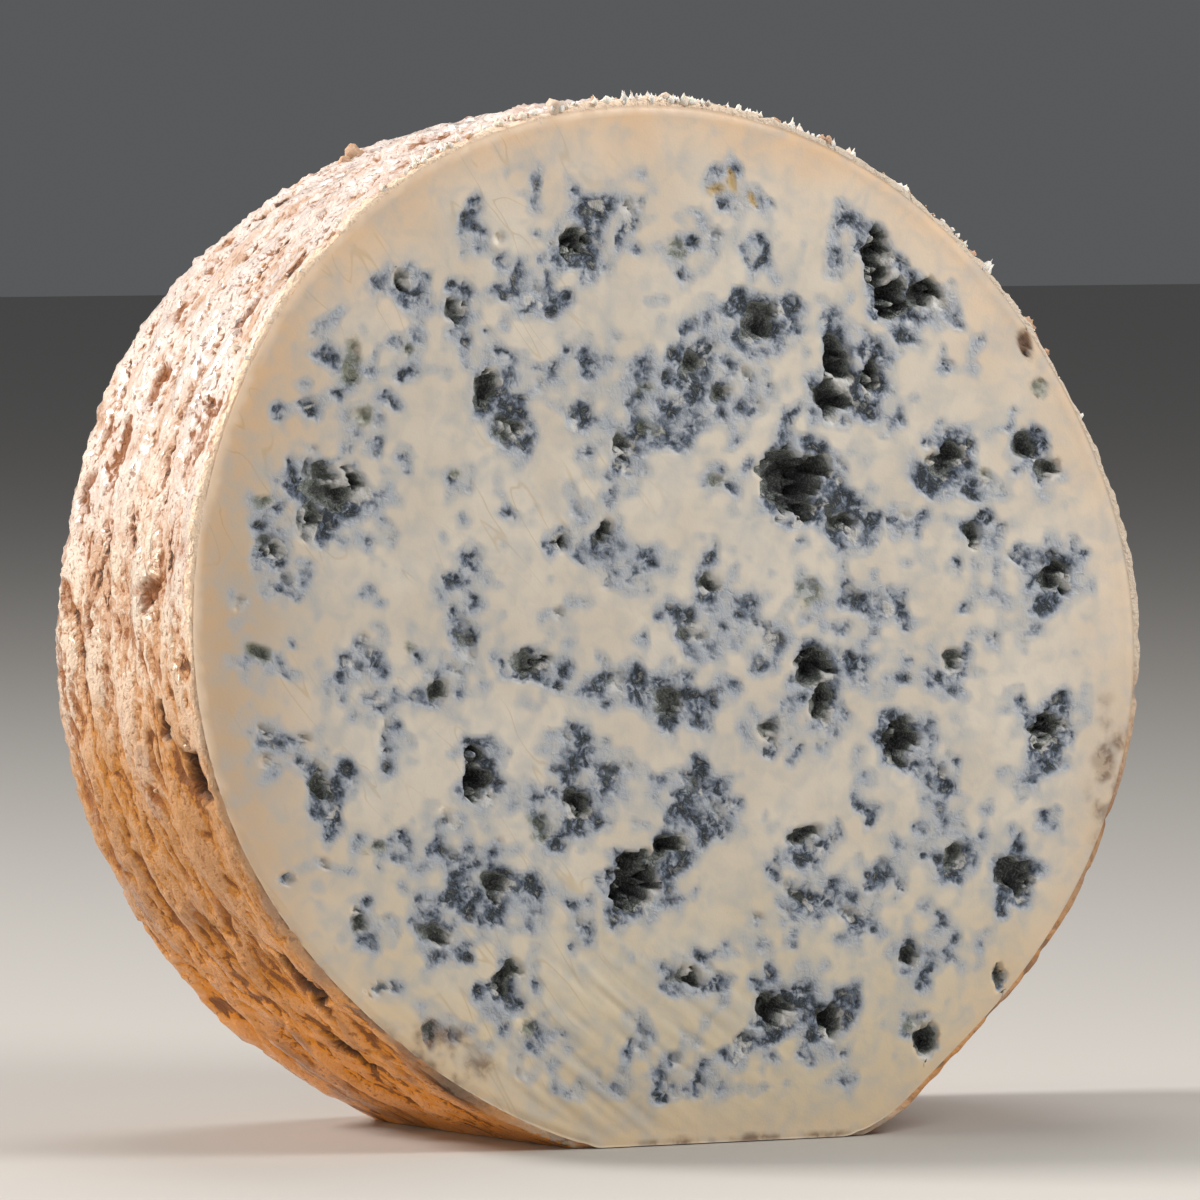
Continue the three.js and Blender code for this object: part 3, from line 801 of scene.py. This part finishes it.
@dataclass
class CutFace:
    """The block of paste, whose front is the cut face with its cavities.

    A ring behind the face is its place along Y and its inset from the outline. A brown stain is
    its middle, its spread and its strength.
    """

    form: Round
    cells: int = 284
    inset: float = 0.8
    tuck: float = 0.36
    wander: float = 0.8
    shrink: float = 1.1
    snap: float = 0.55
    drag_turn: float = -38.0
    rings: tuple = ((-22.0, 2.4), (12.0, 3.6), (20.5, 9.5))
    stains: tuple = (((-33.5, -53.0), (9.0, 6.0), 1.3), ((61.0, -20.0), (3.2, 11.0), 1.0))

    def hollows(self) -> Array:
        """Every cavity and spot as one table: place, width, height, turn, depth."""
        spots = np.array([row[:6] for row in SPOTS], dtype=float)
        return np.concatenate([CAVITIES, spots])

    def torn_reach(self, x: Array, z: Array, rows: Array) -> Array:
        """How far points lie from each ellipse's middle, made ragged.

        The points wander by slow noise, and two finer noises are added to the reach itself, so
        that a large cavity is as torn as a small one.

        Args:
            x: Places across the face, from the axis.
            z: Places up the face, from the axis.
            rows: One ellipse a row, as reach takes them.

        Returns:
            The reach with one more axis, for the ellipses.
        """
        first, second = Lattice(11), Lattice(12)
        wx = x + self.wander * first.at(x / 3.1, 0.5, z / 3.1)
        wz = z + self.wander * second.at(x / 3.1, 0.5, z / 3.1)
        tear = 0.42 * first.at(x / 1.8, 7.5, z / 1.8) + 0.24 * second.at(x / 0.9, 4.5, z / 0.9)
        return self.shrink * reach(wx, wz, rows) + tear[..., None]

    def rim_distance(self, x: Array, z: Array) -> Array:
        """About how far each point is from the nearest rim: (reach - 1) times the mean radius.

        Args:
            x: Places across the face, from the axis.
            z: Places up the face, from the axis.

        Returns:
            Millimetres, negative inside a cavity.
        """
        rows = self.hollows()
        return ((self.torn_reach(x, z, rows) - 1) * mean_radius(rows)).min(axis=-1)

    def snapped(self, x: Array, z: Array) -> tuple[Array, Array]:
        """Moves points that are close to a rim onto it, along the slope of the rim distance.

        Args:
            x: Places across the face, from the axis.
            z: Places up the face, from the axis.

        Returns:
            The two moved by -distance times slope over slope squared, half a cell at most.
        """
        step = 0.05
        gap = self.rim_distance(x, z)
        slope_x = (self.rim_distance(x + step, z) - gap) / step
        slope_z = (self.rim_distance(x, z + step) - gap) / step
        steep = np.maximum(slope_x**2 + slope_z**2, 0.05)
        cell = 2 * self.form.radius / self.cells
        near = np.abs(gap) < self.snap * cell
        limit = 0.55 * cell
        dx = np.clip(-gap * slope_x / steep, -limit, limit)
        dz = np.clip(-gap * slope_z / steep, -limit, limit)
        return np.where(near, x + dx, x), np.where(near, z + dz, z)

    def depth(self, x: Array, z: Array) -> Array:
        """How deep the face is sunk in its hollows.

        Each hollow's depth is its own depth times (1 - t^4)^0.6, t being 1 on the rim, and its
        floor slopes down to the right. Crumbs of paste are left standing in it where a finer
        noise is high.

        Args:
            x: Places across the face, from the axis.
            z: Places up the face, from the axis.

        Returns:
            Millimetres behind the face, 0 outside the hollows.
        """
        rows = self.hollows()
        t = np.clip(self.torn_reach(x, z, rows), 0, 1)
        side = (x[..., None] - rows[:, 0]) / mean_radius(rows)
        sunk = rows[:, 5] * (1 - t**4) ** 0.6 * (0.3 + 0.6 * ease(side, -1.1, 0.8))
        rough = 1 + 0.25 * Lattice(22).layered(x / 1.6, 2.5, z / 1.6, 2)
        return sunk.max(axis=-1) * rough * (1 - 0.9 * self.lumps(x, z))

    def lumps(self, x: Array, z: Array) -> Array:
        """Where curd still stands in a cavity: mostly on its right and lower side.

        Args:
            x: Places across the face, from the axis.
            z: Places up the face, from the axis.

        Returns:
            0 where nothing stands, to 1 where the curd is whole.
        """
        rows = self.hollows()
        nearest = reach(x, z, rows).argmin(axis=-1)
        mean = mean_radius(rows)[nearest]
        side = (0.7 * (x - rows[nearest, 0]) - 0.5 * (z - rows[nearest, 1])) / mean
        return ease(Lattice(21).layered(x / 2.2, 1.5, z / 2.2, 3) + 0.6 * side, 0.2, 0.65)

    def strength(self, x: Array, z: Array) -> Array:
        """How veined the paste is: the strongest of the patches and of the rims' surroundings.

        A patch fades as exp(-(t / 1.15)^3), t being 1 on its ellipse, and the surroundings of a
        rim as a wide plus a narrow bell. Stray mould follows a slow noise.

        Args:
            x: Places across the face, from the axis.
            z: Places up the face, from the axis.

        Returns:
            0 for clean paste, to about 1.
        """
        wander = Lattice(31)
        wx = x + 2.0 * wander.layered(x / 5, 0.5, z / 5)
        wz = z + 2.0 * wander.layered(x / 5, 7.5, z / 5)
        patch = (PATCHES[:, 5] * np.exp(-((reach(wx, wz, PATCHES) / 1.15) ** 3))).max(axis=-1)
        rows = self.hollows()
        mean = mean_radius(rows)
        away = np.maximum((reach(wx - 0.7, wz + 0.5, rows) - 1) * mean, 0)
        halo = 0.75 * np.exp(-((away / 1.9) ** 2)) + 0.25 * np.exp(-away / 4.5)
        near = (halo * np.clip(0.42 + mean / 7, 0, 0.85)).max(axis=-1)
        stray = 0.5 * ease(Lattice(33).layered(x / 6.5, 0.5, z / 6.5, 3), 0.0, 0.7)
        veined = np.maximum(np.maximum(patch * 1.15, near), stray)
        return veined + 0.25 * np.minimum(patch, near)

    def flecks(self, x: Array, z: Array, strength: Array) -> tuple[Array, Array]:
        """Crumbs of mould, and the haze round them.

        Both follow noise plus the veining: the crumbs by four octaves of it over a narrow
        range, and the haze by the coarsest octave alone over a wide one.

        Args:
            x: Places across the face, from the axis.
            z: Places up the face, from the axis.
            strength: How veined each place is.

        Returns:
            The two masks, from 0 to 1.
        """
        noise = Lattice(32)
        crumbs = noise.layered(x / 2.3, 0.5, z / 2.3, 4) + 1.2 * strength
        haze = 0.6 * noise.at(x / 2.3, 0.5, z / 2.3) + 1.1 * strength
        veined = ease(strength, 0.06, 0.3)
        return ease(crumbs, 0.45, 1.55) * veined, ease(haze, 0.05, 1.1) * ease(strength, 0.0, 0.2)

    def tinted(self, x: Array, z: Array, tint: Tint) -> Array:
        """Where the spots of one tint lie, with soft ragged edges."""
        rows = np.array([row[:5] for row in SPOTS if row[6] is tint], dtype=float)
        return ease(self.torn_reach(x, z, rows).min(axis=-1), 1.4, 0.75)

    def piece(self) -> bpy.types.Object:
        """Builds the block: a square grid drawn out to the outline, closed round the back.

        A grid point (u, v) goes to u sqrt(1 - v^2 / 2), v sqrt(1 - u^2 / 2) in the unit disc,
        and then out to the outline at its angle.

        Returns:
            The object, with the masks that its finish reads.
        """
        form, count = self.form, self.cells + 1
        u, v = np.meshgrid(np.linspace(-1, 1, count), np.linspace(-1, 1, count))
        p, q = u * np.sqrt(1 - v**2 / 2), v * np.sqrt(1 - u**2 / 2)
        share, angle = np.minimum(np.hypot(p, q), 1), np.arctan2(q, p)
        pressed = ease(-form.outline(angle) * np.sin(angle) - form.centre_height, 0.0, 0.8)
        outline = form.grounded(angle, form.outline(angle), form.front)
        edge = outline - self.inset * (1 - 0.9 * pressed)
        x, z = share * edge * np.cos(angle), share * edge * np.sin(angle)
        x, z = self.snapped(x, z)
        from_edge = edge * (1 - share)
        inner = ease(from_edge, 0.4, 2.0)
        sunk = self.depth(x, z) * inner
        veins = self.strength(x, z) * np.maximum(ease(from_edge, 2.5, 7.0), ease(sunk, 0.1, 0.4))
        flecks, haze = self.flecks(x, z, veins)
        swell = 0.07 * Lattice(41).layered(x / 8, 0.5, z / 8)
        frayed = Lattice(53).layered(x / 2.4, 0.5, z / 2.4, 2)
        lip = self.tuck * (1 + 0.5 * frayed) * ease(from_edge, 1.1, 0.0)
        lip = lip * (0.3 + 0.7 * ease(x, 22, -4)) * (1 - pressed)
        low = inner * (0.08 + swell + self.dragged(x, z) + 0.55 * flecks)
        y = form.front + np.maximum(sunk + lip + low, 0)
        face = np.stack([form.centre_x + x, y, form.centre_height + z], axis=-1)
        piece = self.closed(face, angle)

        # rim: amber near the rind, partly the paste's own tone and partly a painted glow of light
        # through the rind, stronger to the upper left
        upper_left = ease(-0.5 * x + z, -20, 60)
        wide = 4 + 5 * ease(Lattice(51).layered(x / 16, 0.5, z / 16), -0.6, 0.8)
        rim = np.exp(-(from_edge / wide)) * (0.45 + 0.55 * upper_left)
        stain = sum(much * bell(x, z, middle, spread) for middle, spread, much in self.stains)
        stain = stain + 0.8 * pressed * ease(from_edge, 1.6, 0.2) * ease(x, -12, 2)
        ragged_stain = stain * (0.7 + 0.8 * Lattice(52).layered(x / 3, 0.5, z / 3))
        brown = np.maximum(self.tinted(x, z, Tint.BROWN), ease(ragged_stain, 0.2, 0.9) * 0.85)
        # bare: the band at the upper edge that the finish paints bright, partly crust and partly
        # painted glow
        bare = ease(from_edge + 0.4 * frayed, 1.3, 0.1) * ease(z, -30, -5)
        standing = self.lumps(x, z) * ease(self.rim_distance(x, z), 0.6, -0.4)
        olive, ochre = self.tinted(x, z, Tint.OLIVE), self.tinted(x, z, Tint.OCHRE)
        # The third veins channel is how deep a hollow is, for painted shade in the finish
        paint(piece, "veins", haze, flecks, ease(sunk, 3.0, 8.0))
        paint(piece, "spots", olive, ochre, brown)
        paint(piece, "edge", rim, bare, standing)
        return piece

    def closed(self, face: Array, angle: Array) -> bpy.types.Object:
        """Makes the block from its face: rings behind the face's edge, and a fan on the last.

        Args:
            face: The face's grid of places.
            angle: The angle of each round the axis.

        Returns:
            The object, whose first vertices are the grid.
        """
        form, count = self.form, self.cells + 1
        numbers = np.arange(count * count).reshape(count, count)
        quads = np.stack(
            [numbers[:-1, :-1], numbers[:-1, 1:], numbers[1:, 1:], numbers[1:, :-1]], axis=-1
        ).reshape(-1, 4)
        last = np.concatenate(
            [numbers[0, :-1], numbers[:-1, -1], numbers[-1, :0:-1], numbers[:0:-1, 0]]
        )
        around = angle.ravel()[last]
        outline = form.outline(around)
        rings, parts, total = [quads], [face.reshape(-1, 3)], count * count
        for y, inset in self.rings:
            parts.append(form.place(around, form.grounded(around, outline, y) - inset, y))
            ring = np.arange(len(around)) + total
            rings.append(ring_quads(last, ring))
            last, total = ring, total + len(around)
        parts.append(np.array([[form.centre_x, y, form.axis_height(y)]]))
        fan = np.stack([last, np.roll(last, -1), np.full(len(around), total)], axis=-1)
        return make_piece("cheese_paste", np.concatenate(parts), np.concatenate(rings), fan)

    def dragged(self, x: Array, z: Array) -> Array:
        """Ridges that the wire has dragged, slanting down to the right low on the face.

        Args:
            x: Places across the face, from the axis.
            z: Places up the face, from the axis.

        Returns:
            Millimetres behind the face, up to about 0.5 either way.
        """
        turn = math.radians(self.drag_turn)
        along = x * math.cos(turn) + z * math.sin(turn)
        across = z * math.cos(turn) - x * math.sin(turn)
        place = bell(x, z, (-9, -49), (19, 11))
        return 0.42 * place * Lattice(61).layered(along / 16, 0.5, across / 1.5, 2)


@dataclass
class Rind:
    """The rind as a closed shell round the side and over the back end.

    A row of the lip is its inset, its distance behind the cut face, and its radial and axial
    shares. An inner ring is its inset from the outline and its place along Y. The stain is at
    an angle in degrees and a distance behind the cut face.
    """

    form: Round
    sectors: int = 720
    side_start: float = 1.35
    side_rows: int = 90
    shoulder_rows: int = 14
    back_rows: int = 22
    lip: tuple = ((1.5, 0.9, 0.0, 0.0), (1.1, 0.52, 0.0, 0.0), (0.8, 0.37, 0.1, 0.0),
                  (0.5, 0.5, 0.4, 0.0), (0.25, 0.7, 0.7, 0.0), (0.08, 0.98, 0.9, 0.0))
    inner_rings: tuple = ((1.6, -23.5), (3.4, -20.0), (4.0, 10.0), (9.0, 20.9))
    pole: float = 25.0
    hub: float = 21.0
    stain: tuple[float, float] = (242.0, 1.6)
    stain_spread: tuple[float, float] = (5.0, 2.5)

    def profile(self) -> tuple[Array, Array, Array, Array]:
        """The outer half profile, row by row.

        Returns:
            Inset from the outline, distance behind the cut face, and the outward direction's
            radial and axial shares: straight along the side, a quarter circle round the
            shoulder, then in over the back.
        """
        form = self.form
        straight = form.thickness - form.shoulder
        side = np.linspace(self.side_start, straight, self.side_rows)
        turn = np.linspace(0, math.pi / 2, self.shoulder_rows + 1)[1:]
        back = np.linspace(form.shoulder, form.radius, self.back_rows + 1)[1:-1]
        lip = np.array(self.lip).T
        inset = np.concatenate([lip[0], 0 * side, form.shoulder * (1 - np.cos(turn)), back])
        behind = np.concatenate([lip[1], side, straight + form.shoulder * np.sin(turn),
                                 np.full(len(back), form.thickness)])
        radial = np.concatenate([lip[2], 1 + 0 * side, np.cos(turn), 0 * back])
        axial = np.concatenate([lip[3], 0 * side, np.sin(turn), 1 + 0 * back])
        return inset, behind, radial, axial

    def relief(self, angle: Array, behind: Array, inset: Array) -> tuple[Array, Array, Array]:
        """How far the rind stands out, with the parts that its colours follow.

        The long furrows are sine waves along the axis that shift round it. On them lie knobs,
        noise drawn out round the side, grooves where such noise crosses zero, and the pits.
        Furrows and knobs fade on the back end, where they would draw together at its middle.

        Args:
            angle: Angles round the axis in radians.
            behind: Distances behind the cut face.
            inset: Distances in from the outline.

        Returns:
            The height in mm, the height of the small detail alone, and where the pits lie.
        """
        form = self.form
        radius = form.outline(angle) - inset
        x, z = radius * np.cos(angle), radius * np.sin(angle)
        long = sum(
            depth * np.sin(2 * math.pi * behind / spacing + turns * angle + start)
            for spacing, turns, depth, start in FURROWS
        )
        drawn = behind + 1.3 * Lattice(76).layered(x / 6, behind / 6, z / 6, 2)
        knobs = np.abs(Lattice(71).layered(x / 1.9, drawn / 1.3, z / 1.9, 3)) - 0.3
        wrinkles = np.abs(Lattice(72).layered(x / 10.5, drawn / 2.2, z / 10.5, 3))
        grooves = ease(np.abs(Lattice(77).layered(x / 15, drawn / 4.2, z / 15, 2)), 0.12, 0.0)
        mounds = Lattice(73).layered(x / 9, behind / 5, z / 9, 2)
        rugged = 0.15 + 0.85 * ease(z + 12 * Lattice(78).at(x / 12, behind / 9, z / 12), -35, 15)
        back = ease(inset, 1.5, form.shoulder + 4)
        knobs, long = knobs * rugged * (1 - back), long * (1 - back)
        small = 0.5 * knobs + 0.28 * np.clip(1 - 2.4 * wrinkles, -1, 1) - 0.45 * grooves
        small = small * (1 - 0.4 * back) + 0.26 * mounds

        away = np.degrees(angle)[..., None] - RIND_PITS[:, 0]
        away = np.radians((away + 180) % 360 - 180) * form.radius
        wave = 0.6 * Lattice(74).layered(x / 2.0, behind / 2.0, z / 2.0, 3)
        far = np.hypot(away / (RIND_PITS[:, 2] / 2), (behind[..., None] - RIND_PITS[:, 1])
                       / (RIND_PITS[:, 3] / 2)) + wave[..., None]
        t = np.clip(far, 0, 1)
        pits = (RIND_PITS[:, 4] * (1 - t**2) ** 0.8).max(axis=-1)
        pitted = ease(far.min(axis=-1), 1.15, 0.7)
        trimmed = 0.35 + 0.65 * ease(behind, 0, 7)
        return long * trimmed + small * (0.55 + 0.45 * trimmed) - pits, small, pitted

    def piece(self) -> bpy.types.Object:
        """Builds the shell: rings round the axis along the profile, out and back inside.

        Returns:
            The object, with the masks that its finish reads.
        """
        form = self.form
        around = np.linspace(0, 2 * math.pi, self.sectors, endpoint=False)
        inset, behind, radial, axial = (row[:, None] for row in self.profile())
        angle = np.broadcast_to(around, (len(inset), self.sectors))
        behind_all = np.broadcast_to(behind, angle.shape)
        height, small, pitted = self.relief(angle, behind_all, np.broadcast_to(inset, angle.shape))
        raw = form.outline(angle) - inset
        lip = (behind_all < 1.2) & (inset > 0)
        blunt = 0.35 + 0.65 * ease(raw * np.cos(angle), 22, -4)
        plain_y = form.front + behind_all * np.where(lip, blunt, 1.0)
        raw = np.where(lip, form.grounded(angle, form.outline(angle), plain_y) - inset, raw)
        over = form.axis_height(plain_y) + raw * np.sin(angle)
        free = ease(over, form.smooth_foot / 4, form.smooth_foot)
        ends = ease(raw, 0.0, 12.0)
        height = height * free * ends
        tucked = 0.5 * lip * ease(over, 2.5, 0.6)
        y = np.clip(plain_y + height * axial + tucked, form.front, -form.front)
        out = form.grounded(angle, raw + height * radial, y)
        outer = form.place(angle, out, y)
        piece = self.closed(outer, around)

        tall = ease(small + 0.25 * (height - small), -0.75, 0.65)
        wet = ease(Lattice(75).layered(outer[..., 0] / 14, outer[..., 1] / 9, outer[..., 2] / 14),
                   -0.7, 0.5)
        stained = bell(np.degrees(angle), behind_all, self.stain, self.stain_spread)
        paint(piece, "relief", tall, np.maximum(pitted, stained), wet, rest=0.5)
        return piece

    def closed(self, outer: Array, around: Array) -> bpy.types.Object:
        """Makes the shell from its outer rings: inner rings, and a fan on each last ring.

        Args:
            outer: The outer rings' places, from the lip to the back end.
            around: The angles of a ring's places.

        Returns:
            The object, whose first vertices are the outer rings.
        """
        form, count, rows = self.form, self.sectors, len(outer)
        flat = form.outline(around)
        inner = [form.place(around, form.grounded(around, flat, y) - inset, y)
                 for inset, y in self.inner_rings]
        rings = [*outer, *inner]
        middles = [[form.centre_x, y, form.axis_height(y)] for y in (self.pole, self.hub)]
        numbers = np.arange(len(rings) * count).reshape(len(rings), count)
        quads = [ring_quads(numbers[i], numbers[i + 1]) for i in range(rows - 1)]
        quads += [ring_quads(numbers[i + 1], numbers[i]) for i in range(rows, len(rings) - 1)]
        quads.append(ring_quads(numbers[rows], numbers[0]))
        last, deep, pole = numbers[rows - 1], numbers[-1], numbers.size
        fans = [
            np.stack([last, np.roll(last, -1), np.full(count, pole)], axis=-1),
            np.stack([np.roll(deep, -1), deep, np.full(count, pole + 1)], axis=-1),
        ]
        return make_piece("cheese_rind", np.concatenate([*rings, middles]),
                          np.concatenate(quads), np.concatenate(fans))


@dataclass
class Crumbs:
    """Small dry crumbs on the rim and the rind, and spikes of bloom that stand on them.

    A named crumb is its angle in degrees, its distance behind the cut face, its size and how
    brown it is.
    """

    form: Round
    seed: int = 5
    along_rim: int = 120
    scattered: int = 34
    spikes: int = 150
    named: tuple = ((113.0, 38.0, 1.2, 1.0), (115.0, 36.0, 0.8, 1.0), (37.0, 1.6, 1.1, 1.0),
                    (35.0, 2.6, 0.8, 1.0), (39.0, 2.0, 0.7, 0.0), (33.0, 1.2, 0.6, 1.0),
                    (103.3, 0.9, 1.1, 0.6), (90.3, 1.0, 0.7, 0.5))

    def pebble(self) -> tuple[Array, Array]:
        """A ball of eighty triangles, of radius 1.

        Returns:
            Its corners and its faces.
        """
        shape = bmesh.new()
        bmesh.ops.create_icosphere(shape, subdivisions=2, radius=1.0)
        corners = np.array([corner.co[:] for corner in shape.verts])
        faces = np.array([[corner.index for corner in face.verts] for face in shape.faces])
        shape.free()
        return corners, faces

    def piece(self) -> bpy.types.Object:
        """Places a ragged pebble at each spot, half sunk in the rind, and draws out the spikes.

        A corner's three shares go round the side, along the axis and outwards. A spike is
        longer outwards and narrows towards its tip.

        Returns:
            The object, with the mask that its finish reads.
        """
        form, draw = self.form, np.random.default_rng(self.seed)
        total = self.along_rim + self.scattered + self.spikes
        angle = np.radians(np.concatenate([
            draw.normal(92, 34, self.along_rim), draw.uniform(-30, 210, self.scattered),
            draw.normal(93, 20, self.spikes),
        ]))
        behind = np.concatenate([
            np.abs(draw.normal(0.8, 1.6, self.along_rim)) + 0.5,
            draw.uniform(2, 38, self.scattered), 0.4 + draw.exponential(3.0, self.spikes),
        ])
        size = 0.16 + 0.34 * draw.uniform(0, 1, total) ** 2
        brown = (draw.uniform(0, 1, total) < 0.3).astype(float)
        spiky = np.arange(total) >= total - self.spikes
        brown[spiky] *= 0.3
        known = len(self.named)
        angle[:known], behind[:known], size[:known], brown[:known] = np.array(self.named).T
        angle[:known] = np.radians(angle[:known])
        corners, faces = self.pebble()
        size[spiky] += 0.16
        stretch = draw.uniform(0.6, 1.3, (total, 1, 3)) * size[:, None, None]
        stretch[spiky, :, 2] *= draw.uniform(1.0, 1.7, (self.spikes, 1))
        rough = draw.uniform(0.6, 1.35, (total, len(corners), 1))
        local = corners[None] * stretch * rough
        narrow = 1 - 0.8 * ease(corners[:, 2], -0.2, 1.0)
        local[spiky, :, :2] *= narrow[None, :, None]
        y = form.front + behind
        centre = form.place(angle, form.grounded(angle, form.outline(angle) + 0.1, y), y)
        none = 0 * angle
        turned = np.stack([
            np.stack([-np.sin(angle), none, np.cos(angle)], axis=-1),
            np.stack([none, none + 1, none], axis=-1),
            np.stack([np.cos(angle), none, np.sin(angle)], axis=-1),
        ], axis=1)
        vertices = centre[:, None, :] + local @ turned
        vertices[..., 1] = np.maximum(vertices[..., 1], form.front)
        numbers = faces[None] + (np.arange(total) * len(corners))[:, None, None]
        piece = make_piece("rind_crumbs", vertices.reshape(-1, 3), np.zeros((0, 4), dtype=int),
                           numbers.reshape(-1, 3))
        paint(piece, "kind", np.repeat(brown, len(corners)))
        return piece


# ---------------------------------------------------------------- studio


@dataclass(frozen=True)
class Lamp:
    """A square soft light that looks at the slice."""

    name: str
    place: Place
    size: float
    power: float
    tint: Colour = (1.0, 1.0, 1.0)


@dataclass
class Studio:
    """The floor, the lights and the camera, which stands where the photograph's stood."""

    target: Place = (-1.5, -25.0, 64.9)
    turned: float = 24.5
    raised: float = 3.06
    distance: float = 1300.0
    slide: tuple[float, float] = (-7.66, 2.81)
    lens: float = 315.5
    aim: Place = (0.0, 0.0, 0.06)
    surround: Colour = (0.22, 0.225, 0.235)
    surround_strength: float = 0.45
    floor_tone: Colour = (0.54, 0.52, 0.49)
    floor_half: float = 4000.0
    floor_top: float = -0.05
    lamps: tuple[Lamp, ...] = (
        Lamp("key", (0.26, -0.27, 0.38), 0.2, 1.6, (1.0, 0.98, 0.95)),
        Lamp("side_fill", (-0.95, -0.85, 0.45), 0.7, 1.4, (1.0, 0.97, 0.92)),
        Lamp("low_left", (-0.7, 0.0, 0.12), 0.1, 1.2, (1.0, 0.87, 0.66)),
        Lamp("back_light", (-0.78, 0.36, 0.66), 0.25, 11.0, (1.0, 0.97, 0.94)),
        Lamp("top_light", (0.1, 0.3, 1.1), 0.5, 4.0, (1.0, 0.97, 0.94)),
    )

    def camera(self) -> None:
        """Puts the camera at its distance back along the view, slid to frame as photographed."""
        turn, rise = math.radians(self.turned), math.radians(self.raised)
        ahead = Vector((math.sin(turn) * math.cos(rise), math.cos(turn) * math.cos(rise),
                        -math.sin(rise)))
        right = Vector((math.cos(turn), -math.sin(turn), 0.0))
        up = right.cross(ahead)
        place = Vector(self.target) - ahead * self.distance
        place += right * self.slide[0] + up * self.slide[1]
        data = bpy.data.cameras.new("camera")
        data.lens, data.sensor_width = self.lens, 36.0
        data.clip_start, data.clip_end = 0.05, 50.0
        camera = bpy.data.objects.new("camera", data)
        bpy.context.scene.collection.objects.link(camera)
        turned = Matrix((right, up, -ahead)).transposed().to_4x4()
        camera.matrix_world = Matrix.Translation(place * MM) @ turned
        bpy.context.scene.camera = camera

    def light(self) -> None:
        """Adds the lamps and a plain grey surround."""
        for lamp in self.lamps:
            data = bpy.data.lights.new(lamp.name, "AREA")
            data.size, data.energy, data.color = lamp.size, lamp.power, lamp.tint
            light = bpy.data.objects.new(lamp.name, data)
            light.location = lamp.place
            aim = Vector(self.aim) - Vector(lamp.place)
            light.rotation_euler = aim.to_track_quat("-Z", "Y").to_euler()
            bpy.context.scene.collection.objects.link(light)
        world = bpy.data.worlds.new("surround")
        world.use_nodes = True
        background = world.node_tree.nodes["Background"]
        background.inputs[0].default_value = (*self.surround, 1.0)
        background.inputs[1].default_value = self.surround_strength
        bpy.context.scene.world = world
        bpy.context.scene.view_settings.view_transform = "Standard"

    def floor(self) -> None:
        """Lays a plain pale floor just under the slice."""
        corners = self.floor_half * np.array([[-1, -1], [1, -1], [1, 1], [-1, 1]])
        vertices = np.column_stack([corners, np.full(4, self.floor_top)]) * MM
        mesh = bpy.data.meshes.new("floor")
        mesh.from_pydata(vertices.tolist(), [], [(0, 1, 2, 3)])
        floor = bpy.data.objects.new("floor", mesh)
        bpy.context.scene.collection.objects.link(floor)
        made = Recipe("floor")
        mesh.materials.append(made.finish(Base_Color=self.floor_tone, Roughness=0.7))


def main() -> None:
    """Builds the studio and the slice."""
    logging.basicConfig(level=logging.INFO, format="%(message)s")
    studio = Studio()
    studio.camera()
    studio.light()
    studio.floor()
    form = Round()
    belongs(CutFace(form).piece(), PasteFinish().material())
    belongs(Rind(form).piece(), RindFinish().material())
    belongs(Crumbs(form).piece(), CrumbFinish().material())


if __name__ == "__main__":
    main()
